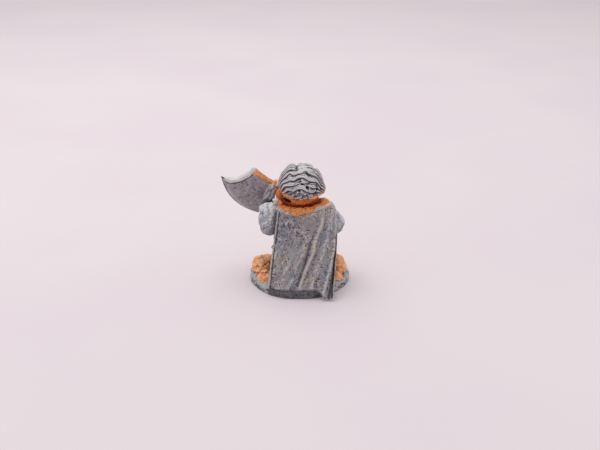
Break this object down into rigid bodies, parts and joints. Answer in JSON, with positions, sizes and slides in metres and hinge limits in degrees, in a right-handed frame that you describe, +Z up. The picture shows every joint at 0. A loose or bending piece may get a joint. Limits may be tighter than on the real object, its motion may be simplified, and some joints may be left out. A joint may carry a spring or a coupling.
{
  "type": "painted miniature figure",
  "caption": "Stout cast gaming miniature with wavy hair and a long folded cape, shouldering a broad single-edged axe on a round rubble-strewn base.",
  "frame": {"origin": "centre of the round base's underside, at table level", "axes": "+Z up; the figure faces -Y, so its own left is +X and its cape hangs on the +Y side"},
  "size_m": [0.0254, 0.0214, 0.0242],
  "materials": {
    "cloth_grey": "matt grey paint, dry-brushed pale over a dark wash",
    "sleeve_grey": "pale grey paint, dry-brushed white",
    "hair_grey": "dark grey paint with white dry-brushed strands",
    "flesh_orange": "matt orange-brown paint, darker in the recesses",
    "ground_orange": "rough orange paint",
    "base_grey": "worn grey paint with a dark edge",
    "blade_grey": "grey paint with a slight metallic sheen",
    "haft_orange": "orange-brown paint",
    "pin_brass": "bare brass rod"
  },
  "bodies": {
    "root": {"base_plate": "base_grey", "rubble_left_large": "ground_orange", "rubble_left_rear": "ground_orange", "rubble_left_front": "ground_orange", "rubble_right_large": "ground_orange", "rubble_right_rear": "ground_orange", "rubble_right_front": "ground_orange", "boot_left": "cloth_grey", "boot_right": "cloth_grey", "hips": "cloth_grey", "torso": "cloth_grey", "belt": "cloth_grey", "cape": "cloth_grey", "belt_buckle": "blade_grey", "axe_head": "blade_grey", "head": "flesh_orange", "collar": "flesh_orange", "left_hand": "flesh_orange", "right_hand": "flesh_orange", "hair": "hair_grey", "left_arm": "sleeve_grey", "right_arm": "sleeve_grey", "axe_haft": "haft_orange", "axe_head_pin": "pin_brass", "neck_pin": "pin_brass", "waist_pin": "pin_brass", "left_shoulder_pin": "pin_brass", "right_shoulder_pin": "pin_brass", "left_leg_pin": "pin_brass", "right_leg_pin": "pin_brass", "left_cape_pin": "pin_brass", "right_cape_pin": "pin_brass"}
  },
  "joints": []
}
